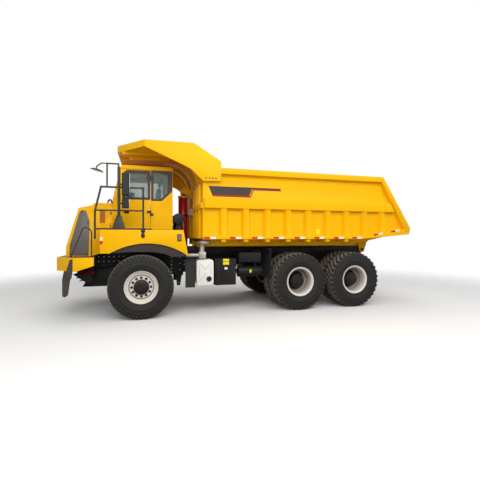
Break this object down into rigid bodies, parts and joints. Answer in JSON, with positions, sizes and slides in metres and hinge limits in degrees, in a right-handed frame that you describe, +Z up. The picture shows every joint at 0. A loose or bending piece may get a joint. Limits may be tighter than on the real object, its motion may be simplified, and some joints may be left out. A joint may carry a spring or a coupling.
{
  "type": "mining dump truck",
  "caption": "Six-wheel mining dump truck with an offset cab, a front telescopic hoist, and an open steel bed with a cab canopy that tips to the rear.",
  "frame": {"origin": "middle of the truck's bounding box, on the ground under the tyres", "axes": "+X forward, +Y to the truck's left, +Z up"},
  "size_m": [8.48, 3.3, 3.7898],
  "materials": {
    "yellow_paint": "glossy yellow paint",
    "dark_paint": "satin grey-brown paint",
    "black_paint": "satin black paint",
    "rim_paint": "semi-gloss cream paint",
    "red_paint": "glossy dark red paint",
    "bare_steel": "heat-stained bare steel",
    "tyre_rubber": "matte rubber",
    "flap_rubber": "matte rubber",
    "window_glass": "clear tinted glass",
    "white_plastic": "moulded white plastic",
    "black_plastic": "moulded black plastic",
    "seat_cloth": "woven seat cloth",
    "lamp_lens": "clear lamp lens"
  },
  "bodies": {
    "chassis": {"chassis_frame": "black_paint", "cross_members": "black_paint", "deck_beams": "black_paint", "belly_guard": "black_paint", "front_bumper": "yellow_paint", "tow_hooks": "red_paint", "front_ladder": "dark_paint", "nose_shell": "yellow_paint", "nose_trim": "dark_paint", "fender_left": "yellow_paint", "fender_right": "yellow_paint", "mudguards": "flap_rubber", "deck_rails": "dark_paint", "mirrors": "black_plastic", "lamps": "lamp_lens", "cab_shell": "yellow_paint", "cab_roof": "yellow_paint", "cab_glass": "window_glass", "cab_seat": "seat_cloth", "cab_dash": "black_plastic", "power_unit": "black_paint", "drive_shafts": "black_paint", "air_cleaner": "black_plastic", "exhaust": "bare_steel", "urea_tank": "white_plastic", "side_tanks": "black_paint", "front_axle": "black_paint", "drive_axles": "black_paint", "leaf_springs": "black_paint"},
    "hood": {"hood": "yellow_paint"},
    "door": {"door": "yellow_paint", "door_glass": "window_glass"},
    "bed": {"bed_shell": "yellow_paint", "canopy": "yellow_paint"},
    "hoist_barrel": {"hoist_barrel": "red_paint"},
    "hoist_stage_1": {"hoist_stage_1": "red_paint"},
    "hoist_stage_2": {"hoist_stage_2": "red_paint"},
    "hoist_stage_3": {"hoist_stage_3": "red_paint"},
    "knuckle_left": {"knuckle_left": "black_paint"},
    "knuckle_right": {"knuckle_right": "black_paint"},
    "tie_rod": {"tie_rod": "black_paint"},
    "wheel_fl": {"rim_fl": "rim_paint", "tyre_fl": "tyre_rubber"},
    "wheel_fr": {"rim_fr": "rim_paint", "tyre_fr": "tyre_rubber"},
    "wheels_ml": {"rim_ml": "rim_paint", "tyre_ml": "tyre_rubber"},
    "wheels_mr": {"rim_mr": "rim_paint", "tyre_mr": "tyre_rubber"},
    "wheels_rl": {"rim_rl": "rim_paint", "tyre_rl": "tyre_rubber"},
    "wheels_rr": {"rim_rr": "rim_paint", "tyre_rr": "tyre_rubber"}
  },
  "joints": [
    {"name": "bed_tip", "type": "hinge", "parent": "chassis", "child": "bed", "pos_m": [-3.56, 0, 1.4], "axis": [0, -1, 0], "range_deg": [0, 42]},
    {"name": "hoist_tilt", "type": "hinge", "parent": "chassis", "child": "hoist_barrel", "pos_m": [1.51, 0, 1.12], "axis": [0, -1, 0], "range_deg": [0, 30]},
    {"name": "hoist_slide_1", "type": "slide", "parent": "hoist_barrel", "child": "hoist_stage_1", "axis": [0, 0, 1], "range_m": [0, 1.25]},
    {"name": "hoist_slide_2", "type": "slide", "parent": "hoist_stage_1", "child": "hoist_stage_2", "axis": [0, 0, 1], "range_m": [0, 1.25]},
    {"name": "hoist_slide_3", "type": "slide", "parent": "hoist_stage_2", "child": "hoist_stage_3", "axis": [0, 0, 1], "range_m": [0, 1.25]},
    {"name": "steer_left", "type": "hinge", "parent": "chassis", "child": "knuckle_left", "pos_m": [2.54, 1.01, 0.685], "axis": [0, 0, 1], "range_deg": [-32, 32]},
    {"name": "steer_right", "type": "hinge", "parent": "chassis", "child": "knuckle_right", "pos_m": [2.54, -1.01, 0.685], "axis": [0, 0, 1], "range_deg": [-33, 33]},
    {"name": "tie_rod_slide", "type": "slide", "parent": "chassis", "child": "tie_rod", "axis": [0, 1, 0], "range_m": [-0.175, 0.175]},
    {"name": "spin_fl", "type": "hinge", "parent": "knuckle_left", "child": "wheel_fl", "pos_m": [2.54, 1.362, 0.685], "axis": [0, 1, 0], "continuous": true},
    {"name": "spin_fr", "type": "hinge", "parent": "knuckle_right", "child": "wheel_fr", "pos_m": [2.54, -1.362, 0.685], "axis": [0, 1, 0], "continuous": true},
    {"name": "spin_ml", "type": "hinge", "parent": "chassis", "child": "wheels_ml", "pos_m": [-1.11, 1.196, 0.685], "axis": [0, 1, 0], "continuous": true},
    {"name": "spin_mr", "type": "hinge", "parent": "chassis", "child": "wheels_mr", "pos_m": [-1.11, -1.196, 0.685], "axis": [0, 1, 0], "continuous": true},
    {"name": "spin_rl", "type": "hinge", "parent": "chassis", "child": "wheels_rl", "pos_m": [-2.61, 1.196, 0.685], "axis": [0, 1, 0], "continuous": true},
    {"name": "spin_rr", "type": "hinge", "parent": "chassis", "child": "wheels_rr", "pos_m": [-2.61, -1.196, 0.685], "axis": [0, 1, 0], "continuous": true},
    {"name": "door_swing", "type": "hinge", "parent": "chassis", "child": "door", "pos_m": [2.343, 1.015, 2.63], "axis": [0, 0, 1], "range_deg": [0, 50]},
    {"name": "hood_lift", "type": "hinge", "parent": "chassis", "child": "hood", "pos_m": [3.573, 0, 2.464], "axis": [0, 1, 0], "range_deg": [0, 70]}
  ],
  "couplings": [
    {"joint": "hoist_tilt", "follows": "bed_tip", "ratio": 0.639},
    {"joint": "hoist_slide_1", "follows": "bed_tip", "m_per_rad": 1.624},
    {"joint": "hoist_slide_2", "follows": "bed_tip", "m_per_rad": 1.624},
    {"joint": "hoist_slide_3", "follows": "bed_tip", "m_per_rad": 1.624},
    {"joint": "steer_right", "follows": "steer_left", "ratio": 1},
    {"joint": "tie_rod_slide", "follows": "steer_left", "m_per_rad": -0.3036}
  ]
}
